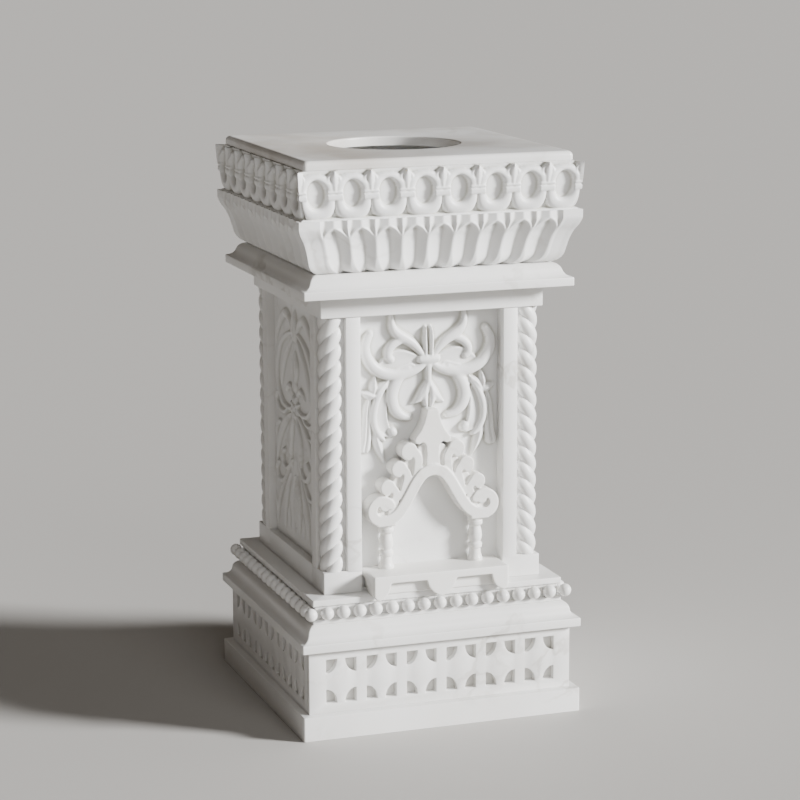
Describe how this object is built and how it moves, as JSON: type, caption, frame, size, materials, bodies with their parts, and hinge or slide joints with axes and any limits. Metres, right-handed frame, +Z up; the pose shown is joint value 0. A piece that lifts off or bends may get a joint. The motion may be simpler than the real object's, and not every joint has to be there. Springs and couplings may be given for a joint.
{
  "type": "tulsi vrindavan planter",
  "caption": "Carved white marble pedestal planter of stacked square courses, with a round planting opening on top and a small scrolled lamp shrine on the front.",
  "frame": {"origin": "centre of the underside of the plinth, on the ground", "axes": "+Z up, -Y the front with the shrine, +X to the right seen from the front"},
  "size_m": [0.311, 0.311, 0.603],
  "materials": {
    "marble_white": "honed white marble with faint grey veins",
    "marble_panel": "carved white marble, honed",
    "marble_inner": "sawn white marble, dull",
    "pin_steel": "plain stainless steel"
  },
  "bodies": {
    "root": {"base_plinth": "marble_white", "base_core": "marble_inner", "jaali_panel_front": "marble_white", "jaali_panel_right": "marble_white", "jaali_panel_back": "marble_white", "jaali_panel_left": "marble_white", "base_cornice": "marble_white", "bead_course": "marble_white", "corner_post_front_left": "marble_white", "corner_post_front_right": "marble_white", "corner_post_back_right": "marble_white", "corner_post_back_left": "marble_white", "carved_panel_front": "marble_panel", "carved_panel_right": "marble_panel", "carved_panel_back": "marble_panel", "carved_panel_left": "marble_panel", "post_dowels_lower": "pin_steel", "post_dowels_upper": "pin_steel", "abacus": "marble_white", "top_cornice": "marble_white", "lotus_course": "marble_white", "frieze_course": "marble_white", "top_slab": "marble_white", "shrine_shelf": "marble_white", "shrine_baluster_left": "marble_white", "shrine_baluster_right": "marble_white", "shrine_arch": "marble_white"}
  },
  "joints": []
}
